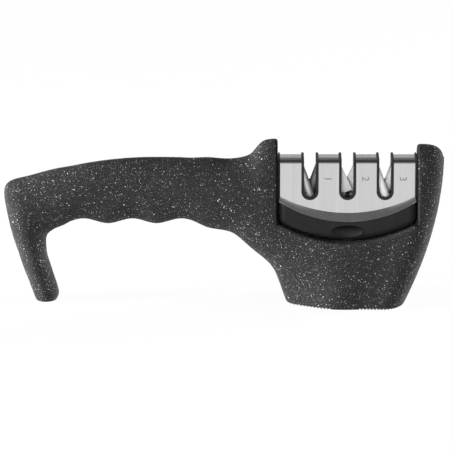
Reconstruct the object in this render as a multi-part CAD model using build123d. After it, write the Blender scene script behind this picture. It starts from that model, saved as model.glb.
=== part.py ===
from build123d import *
from math import cos, pi, radians, sin, sqrt, tan
import os

# Three-stage hand knife sharpener.
# +X runs from the hand guard to the sharpening head, -Y faces the user, +Z is up.
# The origin is at the middle of the footprint, on the table.

# Overall size
length = 210.0
height = 78.4
grip_width = 20.4

# Handle: top line, finger grooves and fit of its section
crest_x = -33.0
crest_z = 69.4
crest_span = 50.0
crest_fall = 6.9
crest_right_share = 0.4
groove_pitch = 23.2
groove_mid_z = 38.4
groove_depth = 1.2
first_groove_inset = 38.1
first_groove_x = first_groove_inset - length / 2
stations_per_groove = 4
grip_start_share = 0.94
grip_end_share = 1.02
section_steps = 8
handle_squareness = 2.1
head_squareness = 5.0
flare_share = 0.589
bell_share = 0.179

# Hand guard: the leg that comes down in front of the knuckles
guard_lean = 18.7
guard_foot_inset = 20.1
guard_foot_x = guard_foot_inset - length / 2
guard_foot_z = 2.7
guard_foot_half = 5.9
guard_foot_nose = 5.0
guard_half_width = 8.6
guard_step = 5.6
guard_steps = 4
guard_swell = 0.025
foot_degrees = (14, 32, 52, 72)

# Sharpening head: slanted right end and base
head_length = 113.0
end_inset = 20.65
end_x = length / 2 - end_inset
end_lean = 15.4
end_round = 9.0
end_degrees = (125, 90, 58, 32, 11)
end_bow = 6.3
end_top_drop = 2.75
end_top_z = height - end_top_drop
end_top_round = 8.0
bow_run = 34.9
bow_middle_z = 33.0
bow_reach = 43.0
head_half_width = 15.3
below_table = 10.0

# Saddle that carries the sharpening module
module_inset = 46.05
module_x = length / 2 - module_inset
saddle_half = 33.25
saddle_floor_z = 30.7
saddle_floor_radius = 67.3
saddle_corner = 4.8
saddle_edge_round = 1.3

# Shell halves
parting_gap = 0.12
hollow_rim = 4.2
hollow_depth = 5.2
pin_radius = 1.2
pin_boss_radius = 2.9
pin_reach = 3.0
guard_pin_share = 0.3
slide_fit = 0.05

# Base plate and grip pad
pad_thickness = 1.6
pad_proud = 0.6
pad_rim = 0.8
pad_rib_pitch = 1.6
pad_rib_depth = 0.45
pad_rib_groove = 0.8
pad_plain_half = 6.4
pad_plug_radius = 3.0
pad_plug_rise = 1.2
plate_thickness = 2.4
plate_length = 40.0
plate_offset = 1.05
plate_left = module_x + plate_offset - plate_length / 2
plate_right = plate_left + plate_length
plate_half_width = 15.5
plate_corner = 6.0
plate_fit = 0.15
base_screw_radius = 1.4
base_screw_head_radius = 2.6
base_screw_head = 1.2
base_screw_length = 11.0
base_screw_inset = 4.2
base_cavity_top = 18.0
base_cavity_inset = 8.6
base_cavity_half_width = 12.5

# Dock pocket under the saddle
dock_half_length = 12.4
dock_half_width = 8.75
dock_floor_z = 21.6
keeper_low_z = 24.8
keeper_high_z = 28.4
keeper_depth = 0.9
dock_fit = 0.4

# Module base
base_half_length = 33.0
base_half_depth = 11.2
base_bottom_z = 31.0
base_bottom_radius = 67.0
base_corner = 4.5
base_edge_round = 3.4
tongue_half_width = 4.8

# Steel cover
sheet = 0.7
cover_top_z = 69.6
cover_half_length = 32.1
cover_half_depth = 7.2
bend_radius = 1.9
face_bow_z = 43.8
face_bow_radius = 68.6
lip_bow_z = 40.5
lip_bow_radius = 59.0
lip_half_length = 32.7
lip_half_depth = 10.6
lip_rise = 0.95
lip_edge = 0.25

# Knife slots and their liners
slot_pitch = 17.9
slot_count = 3
cover_slot_half = 4.1
cover_slot_bottom_z = 50.1
knife_slot_half = 2.85
knife_slot_bottom_z = 51.3
liner_proud = 0.3
liner_top_z = 70.05
above_module_z = 90.0
liner_fit = 0.04

# Carrier halves
carrier_half_length = 33.0
carrier_foot_half_length = 30.5
carrier_half_depth = 6.3
carrier_bottom_z = 39.7
carrier_step_z = 50.7
carrier_top_z = 68.6
end_wall = 0.85
end_wall_half_depth = 7.4
back_wall = 1.2
back_wall_top_z = 57.5
carrier_screw_radius = 1.0
carrier_screw_head_radius = 2.0
carrier_screw_head = 1.4
carrier_screw_share = 0.7
carrier_screws_at = [(-27.0, 58.0), (-9.0, 54.5), (9.0, 54.5), (27.0, 58.0)]

# Sharpening elements
rod_lean = 20.0
rod_notch_z = 58.1
rod_mid_z = 56.0
rod_radius = 2.2
rod_length = 23.0
rod_y = 2.75
blade_lean = 25.5
blade_notch_z = 59.2
blade_width = 5.4
blade_thickness = 2.0
blade_length = 15.4
blade_mid_z = 60.2
blade_y = 1.9
seat_lobe_radius = 0.75
seat_lobe_pitch = 1.8
seat_lobe_z = 51.9
seat_lobe_rise = 0.4
seat_half_depth = 4.6
element_fit = 0.04

# Release buttons
button_z = 35.7
button_half_length = 7.5
button_half_height = 2.8
button_front_y = 11.3
button_back_y = 7.4
button_fit = 0.15
dish_half_length = 7.3
dish_half_height = 2.65
dish_depth = 1.3
lug_reach = 8.8
lug_half_height = 1.4
lug_front_y = 9.4
lug_back_y = 8.2
lip_thickness = 1.5
arm_half_length = 2.6
arm_front_y = 8.3
arm_bottom_z = 25.2
nib_top_z = 27.4
nib_reach = 0.15

# Leaf springs behind the buttons
leaf_half_length = 6.4
leaf_half_height = 1.3
leaf_thickness = 0.35
web_half = 0.9

# Screws that hold the carriers down on the module base
lower_screw_x = 22.0
lower_screw_y = 3.2
lower_screw_radius = 1.1
lower_screw_head_radius = 2.1
lower_screw_head = 1.5
lower_screw_room = 0.7
lower_screw_top_z = rod_mid_z - rod_length / 2 - lower_screw_room


def section(top, bottom, half_width, head_share, side, gap):
    """Outer curve and mid-plane curve of half a section, oval in the grip and bell-shaped in the head."""
    middle = Vector((top[0] + bottom[0]) / 2, side * gap, (top[1] + bottom[1]) / 2)
    upward = Vector((top[0] - bottom[0]) / 2, 0, (top[1] - bottom[1]) / 2)
    squareness = handle_squareness + head_share * (head_squareness - handle_squareness)
    bow = end_bow * min(max((middle.X - end_x + bow_run) / bow_run, 0), 1) ** 2
    outer = []
    inner = []
    for step in range(section_steps + 1):
        rise = cos(pi * step / section_steps)
        reach = max(1 - abs(rise) ** squareness, 0) ** (1 / squareness)
        bell = 1 - head_share * (flare_share * rise - bell_share * rise**2)
        point = middle + upward * rise
        swell = 1 - ((point.Z - bow_middle_z) / bow_reach) ** 2
        inner.append(point + Vector(bow * swell, 0, 0))
        outer.append(inner[-1] + Vector(0, side * half_width * reach * bell, 0))
    leave = Vector(0, outer[1].Y - outer[0].Y, 0) * section_steps
    arrive = Vector(0, outer[-1].Y - outer[-2].Y, 0) * section_steps
    even = [step / section_steps for step in range(section_steps + 1)]
    curve = Edge.make_spline(outer, tangents=[leave, arrive], parameters=even, scale=False)
    return curve, Edge.make_spline(inner, parameters=even)


def handle_top(x):
    """Height of the arched top line of the grip."""
    fall = crest_fall if x < crest_x else crest_fall * crest_right_share
    return crest_z - fall * ((x - crest_x) / crest_span) ** 2


def handle_bottom(x):
    """Height of the underside, with its finger grooves."""
    return groove_mid_z + groove_depth * cos(2 * pi * (x - first_groove_x) / groove_pitch)


def foot_stations():
    """Rounded nose at the lower end of the guard, and the straight leg above it."""
    lean = radians(guard_lean)
    stations = []
    for degrees in foot_degrees:
        along = guard_foot_nose * cos(radians(degrees))
        stations.append((along, sin(radians(degrees))))
    stations += [(-guard_step * count, 1 + guard_swell * count) for count in range(guard_steps)]
    outline = []
    for along, swell in stations:
        x = guard_foot_x + along * sin(lean)
        z = guard_foot_z - along * cos(lean)
        across_x = guard_foot_half * swell * cos(lean)
        across_z = guard_foot_half * swell * sin(lean)
        top = (x - across_x, z - across_z)
        bottom = (x + across_x, z + across_z)
        outline.append((top, bottom, guard_half_width * swell, 0))
    return outline


def table_stations(shares, left, span):
    """Stations written as shares of a span along X, the height and the grip's half width."""
    return [
        (
            (left + span * top_x, height * top_z),
            (left + span * bottom_x, height * bottom_z),
            grip_width / 2 * half_width,
            head_share,
        )
        for top_x, top_z, bottom_x, bottom_z, half_width, head_share in shares
    ]


# Outer and inner line of the guard and round the corner into the grip
guard_shares = [
    (0.0310, 0.298, 0.0965, 0.295, 0.88, 0),
    (0.0180, 0.407, 0.0950, 0.347, 0.89, 0),
    (0.0085, 0.516, 0.0955, 0.380, 0.89, 0),
    (0.0022, 0.610, 0.0975, 0.399, 0.90, 0),
    (0.0004, 0.673, 0.1000, 0.410, 0.90, 0),
    (0.0050, 0.715, 0.1035, 0.419, 0.90, 0),
    (0.0190, 0.742, 0.1085, 0.429, 0.90, 0),
    (0.0480, 0.763, 0.1155, 0.441, 0.91, 0),
    (0.0860, 0.791, 0.1270, 0.454, 0.92, 0),
    (0.1220, 0.815, 0.1400, 0.470, 0.93, 0),
]

# Neck, left cheek and the head up to its slanted end
head_shares = [
    (0.0002, 0.884, -0.0035, 0.452, 1.03, 0.00),
    (0.0615, 0.877, 0.0541, 0.435, 1.05, 0.00),
    (0.1135, 0.877, 0.1080, 0.415, 1.07, 0.03),
    (0.1563, 0.888, 0.1526, 0.365, 1.08, 0.07),
    (0.1916, 0.915, 0.1990, 0.306, 1.09, 0.12),
    (0.2195, 0.965, 0.2418, 0.256, 1.10, 0.18),
    (0.2455, 0.991, 0.2789, 0.198, 1.11, 0.24),
    (0.2715, 0.998, 0.3031, 0.121, 1.12, 0.28),
    (0.2975, 1.000, 0.3235, 0.037, 1.13, 0.33),
    (0.3273, 1.000, 0.3440, -0.040, 1.15, 0.40),
    (0.3644, 1.000, 0.3700, -0.099, 1.20, 0.50),
    (0.4146, 1.000, 0.4090, -0.128, 1.28, 0.65),
    (0.4796, 0.995, 0.4592, -0.128, 1.38, 0.84),
    (0.5837, 0.989, 0.5280, -0.128, 1.48, 1.00),
    (0.6915, 0.983, 0.5819, -0.128, 1.50, 1.00),
]


def end_stations():
    """Rounded right end of the head, closing towards its slanted line."""
    stations = []
    for degrees in end_degrees:
        inset = end_round * (1 - cos(radians(degrees)))
        swell = sin(radians(min(degrees, 90)))
        short = max(end_top_round - inset, 0)
        top_z = end_top_z - end_top_round + sqrt(end_top_round**2 - short**2)
        top_x = end_x + top_z * tan(radians(end_lean)) - inset
        bottom_x = end_x - below_table * tan(radians(end_lean)) - inset
        stations.append(((top_x, top_z), (bottom_x, -below_table), head_half_width * swell, 1))
    return stations


def guard_stations():
    """Guard above its straight leg, and the corner into the grip."""
    return table_stations(guard_shares, -length / 2, length)


def head_stations():
    """Neck, left cheek and head, measured back from the right end."""
    return table_stations(head_shares, length / 2 - head_length, head_length)


def grip_stations():
    """Grip with its finger grooves, a quarter of a groove apart."""
    spacing = groove_pitch / stations_per_groove
    first = first_groove_x - spacing
    count = int((length / 2 - head_length - first) / spacing)
    stations = []
    for step in range(count):
        x = first + step * spacing
        share = grip_start_share + (grip_end_share - grip_start_share) * step / count
        stations.append(((x, handle_top(x)), (x, handle_bottom(x)), grip_width / 2 * share, 0))
    return stations


def make_skin(side, gap):
    """Front (-1) or rear (+1) half of the outer form: guard, grip and head in one smooth run."""
    stations = foot_stations() + guard_stations() + grip_stations() + head_stations() + end_stations()
    sections = [section(*station, side, gap) for station in stations]
    loft = Solid.make_loft([Wire(curves) for curves in sections])
    inside, outside = sorted(loft.faces(), key=lambda face: abs(face.center().Y))
    foot = Face(Wire(sections[0]))
    tip = Face.make_surface_from_curves(*sections[-1])
    return Solid(Shell([outside, Face(inside.outer_wire()), foot, tip]))


def block(x_from, x_to, y_from, y_to, z_from, z_to):
    """Box between two limits on each axis."""
    size = (x_to - x_from, y_to - y_from, z_to - z_from)
    return Pos(x_from, y_from, z_from) * Box(*size, align=(Align.MIN, Align.MIN, Align.MIN))


def bar_along_y(x, z, radius, y_from, y_to):
    """Round bar along Y."""
    bar = Cylinder(radius, y_to - y_from, align=(Align.CENTER, Align.CENTER, Align.MIN))
    return Pos(x, y_from, z) * Rot(-90, 0, 0) * bar


def bar_along_z(x, y, radius, z_from, z_to):
    """Round bar along Z."""
    bar = Cylinder(radius, z_to - z_from, align=(Align.CENTER, Align.CENTER, Align.MIN))
    return Pos(x, y, z_from) * bar


def oval_along_y(z, half_length, half_height, y_from, y_to):
    """Oval bar along Y, centred on the module."""
    plane = Plane(origin=(0, y_from, z), x_dir=(1, 0, 0), z_dir=(0, 1, 0))
    return extrude(plane * Ellipse(half_length, half_height), y_to - y_from)


def bow_end(lowest, radius, half_span):
    """Height at which a sagging arc ends."""
    return lowest + radius - sqrt(radius**2 - half_span**2)


def bow_edge(lowest, radius, half_span, y):
    """Sagging arc, from left to right."""
    end = bow_end(lowest, radius, half_span)
    return Edge.make_three_point_arc((-half_span, y, end), (0, y, lowest), (half_span, y, end))


def below_bow(lowest, radius, half_span, half_depth, floor_z):
    """Everything under a sagging arc, down to a flat floor."""
    end = bow_end(lowest, radius, half_span)
    outline = [
        bow_edge(lowest, radius, half_span, -half_depth),
        Edge.make_line((half_span, -half_depth, end), (half_span, -half_depth, floor_z)),
        Edge.make_line((half_span, -half_depth, floor_z), (-half_span, -half_depth, floor_z)),
        Edge.make_line((-half_span, -half_depth, floor_z), (-half_span, -half_depth, end)),
    ]
    return Solid.extrude(Face(Wire(outline)), Vector(0, 2 * half_depth, 0))


def u_slot(x, half_width, bottom_z, top_z, y_from, y_to):
    """Slot with a round bottom, open at the top."""
    centre_z = bottom_z + half_width
    walls = block(x - half_width, x + half_width, y_from, y_to, centre_z, top_z)
    return walls + bar_along_y(x, centre_z, half_width, y_from, y_to)


def slot_places():
    """Middle of each knife slot along the module."""
    return [slot_pitch * (number - (slot_count - 1) / 2) for number in range(slot_count)]


# Handle body

def saddle_space():
    """Space between the cheeks that the module drops into."""
    top = 2 * height
    reach = 2 * head_half_width
    floor_end = bow_end(saddle_floor_z, saddle_floor_radius, saddle_half)
    space = block(-saddle_half, saddle_half, -reach, reach, saddle_floor_z, top)
    space -= below_bow(saddle_floor_z, saddle_floor_radius, saddle_half, reach, 0)
    corners = [
        edge for edge in space.edges().filter_by(Axis.Y) if abs(edge.center().Z - floor_end) < slide_fit
    ]
    return Pos(module_x, 0, 0) * fillet(corners, saddle_corner)


def dock_pocket():
    """Pocket in the saddle floor for the module's tongue and latch arms."""
    space = block(
        -dock_half_length, dock_half_length, -dock_half_width, dock_half_width,
        dock_floor_z, saddle_floor_z + saddle_corner,
    )
    reach = dock_half_width + keeper_depth
    keeper = arm_half_length + dock_fit
    space += block(-keeper, keeper, -reach, reach, keeper_low_z, keeper_high_z)
    return Pos(module_x, 0, 0) * space


def hollow(stations, side):
    """Flat-bottomed pocket inside one shell half, one rim inside its outline."""
    tops = []
    bottoms = []
    for top, bottom, *_ in stations:
        span = Vector(top[0] - bottom[0], 0, top[1] - bottom[1])
        inset = span.normalized() * hollow_rim
        tops.append(Vector(top[0], 0, top[1]) - inset)
        bottoms.append(Vector(bottom[0], 0, bottom[1]) + inset)
    outline = [
        Edge.make_spline(tops),
        Edge.make_line(tops[-1], bottoms[-1]),
        Edge.make_spline(bottoms[::-1]),
        Edge.make_line(bottoms[0], tops[0]),
    ]
    return Solid.extrude(Face(Wire(outline)), Vector(0, side * hollow_depth, 0))


def pin_places():
    """Locating pins along the grip, in the guard and in the cheeks."""
    mid_z = (crest_z + groove_mid_z) / 2
    return [
        (first_groove_x, mid_z),
        (first_groove_x + 2 * groove_pitch, mid_z),
        (guard_foot_x - guard_foot_half, height * guard_pin_share),
    ]


def plate_outline(fit, z_from, z_to):
    """Rounded plate under the head, grown by its fit."""
    middle = (plate_left + plate_right) / 2
    plate = RectangleRounded(
        plate_right - plate_left + 2 * fit, 2 * (plate_half_width + fit), plate_corner + fit
    )
    return Pos(middle, 0, z_from) * extrude(plate, z_to - z_from)


def base_screw_places():
    """Corners of the base plate."""
    xs = (plate_left + base_screw_inset, plate_right - base_screw_inset)
    y = plate_half_width - base_screw_inset
    return [(x, side * y) for x in xs for side in (-1, 1)]


def base_cavity():
    """Hollow behind the base plate, between the screw bosses."""
    return block(
        plate_left + base_cavity_inset, plate_right - base_cavity_inset,
        -base_cavity_half_width, base_cavity_half_width,
        pad_thickness, base_cavity_top,
    )


def saddle_rim(shell):
    """Edges where the outer form meets the saddle."""
    outer = max(shell.faces().filter_by(GeomType.BSPLINE), key=lambda face: face.area)
    return [
        edge
        for edge in outer.edges()
        if edge.center().Z > saddle_floor_z - saddle_corner
        and abs(edge.center().X - module_x) < saddle_half + slide_fit
    ]


def footprint(rim):
    """Slab under the head, with a rim left free all round."""
    slab = block(0, length, -length, length, 0, pad_thickness)
    whole = (make_skin(-1, 0) & slab) + (make_skin(1, 0) & slab)
    sole = [face for face in whole.faces().filter_by(GeomType.PLANE) if face.center().Z < slide_fit][0]
    box = sole.bounding_box()
    share_x = 1 - 2 * rim / box.size.X
    share_y = 1 - 2 * rim / box.size.Y
    outline = scale(sole, by=(share_x, share_y, 1)).faces()[0].outer_wire()
    trimmed = extrude(Face(outline), pad_thickness, dir=(0, 0, 1))
    return Pos(box.center().X * (1 - share_x), 0, 0) * trimmed


def make_shell(side):
    """Front or rear half of the handle body."""
    shell = make_skin(side, parting_gap / 2)
    shell &= block(-length, length, -length, length, 0, 2 * height)
    shell -= block(0, length, -length, length, -height, pad_proud)
    shell -= saddle_space()
    shell = fillet(saddle_rim(shell), saddle_edge_round)
    shell -= footprint(pad_rim - plate_fit)
    shell -= dock_pocket()
    grip = grip_stations() + head_stations()[:2]
    guard = foot_stations()[-2:] + guard_stations()[:2]
    pockets = hollow(grip[::2], side) + hollow(guard, side)
    for x, z in pin_places():
        pockets -= bar_along_y(x, z, pin_boss_radius, -grip_width, grip_width)
    shell -= pockets
    shell -= base_cavity()
    shell -= plate_outline(plate_fit, pad_thickness, pad_thickness + plate_thickness)
    screw_room = base_screw_radius + slide_fit
    for x, y in base_screw_places():
        shell -= bar_along_z(x, y, screw_room, pad_thickness, base_screw_length + slide_fit)
    for x, z in pin_places():
        if side < 0:
            shell += bar_along_y(x, z, pin_radius, -pin_reach, pin_reach)
        else:
            shell -= bar_along_y(x, z, pin_radius + slide_fit, -pin_reach, pin_reach + slide_fit)
    return shell


def make_pad():
    """Rubber pad let into the underside of the head, ribbed across on two fields."""
    pad = footprint(pad_rim)
    box = pad.bounding_box()
    middle = (box.min.X + box.max.X) / 2
    count = int(box.size.X / pad_rib_pitch)
    reach = 2 * plate_half_width
    for number in range(count):
        x = box.min.X + (number + 0.5) * pad_rib_pitch
        if abs(x - middle) < pad_plain_half:
            continue
        half_groove = pad_rib_groove / 2
        pad -= block(x - half_groove, x + half_groove, -reach, reach, 0, pad_rib_depth)
    for x in (plate_left + base_cavity_inset, plate_right - base_cavity_inset):
        pad += bar_along_z(x, 0, pad_plug_radius, pad_rib_depth, pad_thickness + pad_plug_rise)
    return pad


def make_plate():
    """Base plate in its recess, with screw holes and holes for the pad's plugs."""
    top = pad_thickness + plate_thickness
    plate = plate_outline(0, pad_thickness, top)
    for x, y in base_screw_places():
        plate -= bar_along_z(x, y, base_screw_radius + slide_fit, pad_thickness, top)
        head_top = pad_thickness + base_screw_head + slide_fit
        plate -= bar_along_z(x, y, base_screw_head_radius + slide_fit, pad_thickness, head_top)
    for x in (plate_left + base_cavity_inset, plate_right - base_cavity_inset):
        plate -= bar_along_z(x, 0, pad_plug_radius + slide_fit, pad_thickness, top)
    return plate


def make_base_screws():
    """Four screws up through the base plate."""
    head_top = pad_thickness + base_screw_head
    return [
        bar_along_z(x, y, base_screw_head_radius, pad_thickness, head_top)
        + bar_along_z(x, y, base_screw_radius, pad_thickness, base_screw_length)
        for x, y in base_screw_places()
    ]


# Sharpening module, built about its own middle

def make_steel_cover():
    """Bent sheet with three slots and a lip that flares out along its bowed lower edge."""
    low = face_bow_z - bend_radius * 2
    outside = block(
        -cover_half_length, cover_half_length, -cover_half_depth, cover_half_depth, low, cover_top_z
    )
    outside = fillet(outside.edges().filter_by(Axis.X).group_by(Axis.Z)[-1], bend_radius)
    inner_depth = cover_half_depth - sheet
    inside = block(-length, length, -inner_depth, inner_depth, low - sheet, cover_top_z - sheet)
    inside = fillet(inside.edges().filter_by(Axis.X).group_by(Axis.Z)[-1], bend_radius - sheet)
    cover = outside - inside
    cover -= below_bow(
        face_bow_z - lip_rise, face_bow_radius, cover_half_length + sheet, 2 * cover_half_depth, 0
    )
    for side in (-1, 1):
        cover += make_lip(side)
    reach = 2 * cover_half_depth
    for x in slot_places():
        cover -= u_slot(x, cover_slot_half, cover_slot_bottom_z, above_module_z, -reach, reach)
    return cover


def lip_section(lowest, radius, half_span, y, rise):
    """Closed band along one bow of the lip."""
    end = bow_end(lowest, radius, half_span)
    low_end = end - rise
    return Wire([
        bow_edge(lowest, radius, half_span, y),
        Edge.make_line((half_span, y, end), (half_span, y, low_end)),
        bow_edge(lowest - rise, radius, half_span, y),
        Edge.make_line((-half_span, y, low_end), (-half_span, y, end)),
    ])


def make_lip(side):
    """Flared strip between the bow of the face and the wider bow of the rim."""
    face = lip_section(face_bow_z, face_bow_radius, cover_half_length, side * cover_half_depth, lip_rise)
    rim = lip_section(lip_bow_z, lip_bow_radius, lip_half_length, side * lip_half_depth, lip_edge)
    return Solid.make_loft([face, rim], ruled=True)


def element_frame(x, side, half_width, mid_z, lean_angle, notch_z):
    """Middle of a leaning element whose inner edge passes the notch, front (-1) or rear (+1)."""
    lean = radians(lean_angle)
    edge_x = -half_width * cos(lean)
    edge_z = notch_z - half_width * sin(lean)
    slide = (edge_z - mid_z) / cos(lean)
    return x - side * (edge_x + slide * sin(lean)), mid_z


def make_rod(x, side, radius, length_along):
    """Round rod, leaning across its slot."""
    rod_x, rod_z = element_frame(x, side, rod_radius, rod_mid_z, rod_lean, rod_notch_z)
    return Pos(rod_x, side * rod_y, rod_z) * Rot(0, side * rod_lean, 0) * Cylinder(radius, length_along)


def make_blade(x, side, grow):
    """Flat scraping plate, leaning across its slot."""
    blade_x, blade_z = element_frame(x, side, blade_width / 2, blade_mid_z, blade_lean, blade_notch_z)
    plate = Box(blade_width + 2 * grow, blade_thickness + 2 * grow, blade_length + 2 * grow)
    return Pos(blade_x, side * blade_y, blade_z) * Rot(0, side * blade_lean, 0) * plate


def make_carrier(side):
    """Half of the black insert that holds the elements and lines the slots."""
    y_from, y_to = (0, carrier_half_depth) if side > 0 else (-carrier_half_depth, 0)
    carrier = block(
        -carrier_half_length, carrier_half_length, y_from, y_to, carrier_step_z, carrier_top_z
    )
    top_edges = carrier.edges().filter_by(Axis.X).group_by(Axis.Z)[-1]
    outer_edge = max(top_edges, key=lambda edge: side * edge.center().Y)
    carrier = fillet(outer_edge, bend_radius - sheet)
    foot = carrier_foot_half_length
    carrier += block(-foot, foot, y_from, y_to, carrier_bottom_z, carrier_step_z)
    wall_reach = side * end_wall_half_depth
    for end in (-1, 1):
        outer = end * carrier_half_length
        inner = end * (carrier_half_length - end_wall)
        carrier += block(
            min(outer, inner), max(outer, inner), min(0, wall_reach), max(0, wall_reach),
            carrier_step_z, liner_top_z,
        )
    liner_reach = side * (cover_half_depth + liner_proud)
    liner_half = cover_slot_half - liner_fit
    liner_bottom_z = cover_slot_bottom_z + liner_fit
    near, far = min(0, liner_reach), max(0, liner_reach)
    for x in slot_places():
        carrier += u_slot(x, liner_half, liner_bottom_z, liner_top_z, near, far)
    for x in slot_places():
        reach = 2 * cover_half_depth
        carrier -= u_slot(x, knife_slot_half, knife_slot_bottom_z, above_module_z, -reach, reach)
        if side > 0:
            carrier += block(
                x - knife_slot_half, x + knife_slot_half, carrier_half_depth - back_wall, carrier_half_depth,
                knife_slot_bottom_z, back_wall_top_z,
            )
    left, middle, right = slot_places()
    seat_reach = side * seat_half_depth
    for lobe in (-1, 0, 1):
        x = middle + lobe * seat_lobe_pitch
        z = seat_lobe_z + abs(lobe) * seat_lobe_rise
        carrier += bar_along_y(x, z, seat_lobe_radius, min(0, seat_reach), max(0, seat_reach))
    for x in (left, right):
        carrier -= make_rod(x, side, rod_radius + element_fit, rod_length + 2 * element_fit)
    carrier -= make_blade(middle, side, element_fit)
    shank_room = carrier_screw_radius + slide_fit
    head_room = carrier_screw_head_radius + slide_fit
    head_reach = carrier_screw_head - carrier_half_depth
    for x, z in carrier_screws_at:
        carrier -= bar_along_y(x, z, shank_room, -carrier_half_depth, carrier_screw_end())
        carrier -= bar_along_y(x, z, head_room, -carrier_half_depth, head_reach)
    for x, y in lower_screw_places():
        carrier -= bar_along_z(x, y, lower_screw_radius + slide_fit, 0, lower_screw_top_z + slide_fit)
    return carrier


def carrier_screw_end():
    """Depth that the carrier screws reach in the rear half."""
    return carrier_half_depth * carrier_screw_share


def make_carrier_screws():
    """Screws from the front carrier into the rear one."""
    head_reach = carrier_screw_head - carrier_half_depth
    end = carrier_screw_end() - slide_fit
    return [
        bar_along_y(x, z, carrier_screw_head_radius, -carrier_half_depth, head_reach)
        + bar_along_y(x, z, carrier_screw_radius, -carrier_half_depth, end)
        for x, z in carrier_screws_at
    ]


def lower_screw_places():
    """Screws that come up through the module base."""
    return [(x, y) for x in (-lower_screw_x, lower_screw_x) for y in (-lower_screw_y, lower_screw_y)]


def lower_screw_seat():
    """Height of the seat under the module base at the lower screws."""
    return bow_end(base_bottom_z, base_bottom_radius, lower_screw_x) + lower_screw_head


def make_lower_screws():
    """Screws that hold both carriers down on the module base."""
    seat = lower_screw_seat()
    return [
        bar_along_z(x, y, lower_screw_head_radius, seat - lower_screw_head / 2, seat)
        + bar_along_z(x, y, lower_screw_radius, seat, lower_screw_top_z)
        for x, y in lower_screw_places()
    ]


def make_boat():
    """Boat-shaped blank, bowed above and below, with rounded lower edges."""
    rim = lip_bow_z - lip_edge - slide_fit
    boat = below_bow(rim, lip_bow_radius, base_half_length, base_half_depth, 0)
    boat -= below_bow(
        base_bottom_z, base_bottom_radius, base_half_length + sheet, 2 * base_half_depth, -sheet
    )
    low_end = bow_end(base_bottom_z, base_bottom_radius, base_half_length)
    corners = [
        edge for edge in boat.edges().filter_by(Axis.Y) if abs(edge.center().Z - low_end) < slide_fit
    ]
    boat = fillet(corners, base_corner)
    rim_end = bow_end(rim, lip_bow_radius, base_half_length)
    outline = [
        edge
        for edge in boat.edges()
        if abs(abs(edge.center().Y) - base_half_depth) < slide_fit
        and edge.bounding_box().max.Z < rim_end + slide_fit
        and not is_rim(edge, rim)
    ]
    return fillet(outline, base_edge_round)


def is_rim(edge, rim):
    """True for the upper bow of the boat."""
    middle = edge.position_at(0.5)
    return abs(middle.X) < slide_fit and abs(middle.Z - rim) < slide_fit


def button_well(side):
    """Oval well of a release button, with room for its lugs behind the wall."""
    reach = side * (base_half_depth + slide_fit)
    inner = side * web_half
    low, high = min(inner, reach), max(inner, reach)
    well = oval_along_y(button_z, button_half_length + button_fit, button_half_height + button_fit, low, high)
    lug_wall = side * (base_half_depth - lip_thickness)
    lug_room = lug_reach + button_fit
    lug_height = lug_half_height + button_fit
    near, far = min(inner, lug_wall), max(inner, lug_wall)
    well += block(-lug_room, lug_room, near, far, button_z - lug_height, button_z + lug_height)
    arm_room = arm_half_length + button_fit
    arm_out = side * (arm_front_y + button_fit)
    arm_in = side * tongue_half_width
    well += block(
        -arm_room, arm_room, min(arm_in, arm_out), max(arm_in, arm_out), base_bottom_z - sheet, button_z
    )
    return well


def make_module_base():
    """Base of the module, with the carriers' pocket, the button wells and the docking tongue."""
    base = make_boat()
    pocket = carrier_foot_half_length + plate_fit
    pocket_depth = carrier_half_depth + plate_fit
    base -= block(-pocket, pocket, -pocket_depth, pocket_depth, carrier_bottom_z, above_module_z)
    tongue = dock_half_length - dock_fit
    base += block(
        -tongue, tongue, -tongue_half_width, tongue_half_width,
        dock_floor_z + dock_fit, base_bottom_z + lip_thickness,
    )
    for side in (-1, 1):
        base -= button_well(side)
    for x, y in lower_screw_places():
        base -= bar_along_z(x, y, lower_screw_radius + slide_fit, 0, above_module_z)
        base -= bar_along_z(x, y, lower_screw_head_radius + slide_fit, 0, lower_screw_seat())
    return base


def make_button(side):
    """Oval release button with a dished face, side lugs and a latch arm that reaches into the dock."""
    front = side * button_front_y
    back = side * button_back_y
    near, far = min(front, back), max(front, back)
    button = oval_along_y(button_z, button_half_length, button_half_height, near, far)
    dish = scale(Sphere(1), by=(dish_half_length, dish_depth, dish_half_height))
    button -= Pos(0, front, button_z) * dish
    lug_front = side * lug_front_y
    lug_back = side * lug_back_y
    button += block(
        -lug_reach, lug_reach, min(lug_front, lug_back), max(lug_front, lug_back),
        button_z - lug_half_height, button_z + lug_half_height,
    )
    arm_front = side * arm_front_y
    button += block(
        -arm_half_length, arm_half_length, min(back, arm_front), max(back, arm_front), arm_bottom_z, button_z
    )
    nib_front = side * (arm_front_y + nib_reach)
    button += block(
        -arm_half_length, arm_half_length, min(back, nib_front), max(back, nib_front), arm_bottom_z, nib_top_z
    )
    return button


def make_leaf(side):
    """Bowed leaf spring between the central web and the back of a button."""
    tip_y = side * (button_back_y - leaf_thickness)
    crown_y = side * web_half
    step = side * leaf_thickness
    reach = leaf_half_length
    back_y = tip_y + step
    z = button_z - leaf_half_height
    outline = [
        Edge.make_three_point_arc((-reach, tip_y, z), (0, crown_y, z), (reach, tip_y, z)),
        Edge.make_line((reach, tip_y, z), (reach, back_y, z)),
        Edge.make_three_point_arc((reach, back_y, z), (0, crown_y + step, z), (-reach, back_y, z)),
        Edge.make_line((-reach, back_y, z), (-reach, tip_y, z)),
    ]
    return Solid.extrude(Face(Wire(outline)), Vector(0, 0, 2 * leaf_half_height))


# Parts

def save(name, shape, on_module=False):
    """Write one named sub-part, the module's pieces moved to their place between the cheeks."""
    pieces = shape if isinstance(shape, list) else [shape]
    if on_module:
        pieces = [Pos(module_x, 0, 0) * piece for piece in pieces]
    solids = [solid for piece in pieces for solid in piece.solids()]
    export_step(solids[0] if len(solids) == 1 else Compound(children=solids), f"parts/{name}.step")


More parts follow.
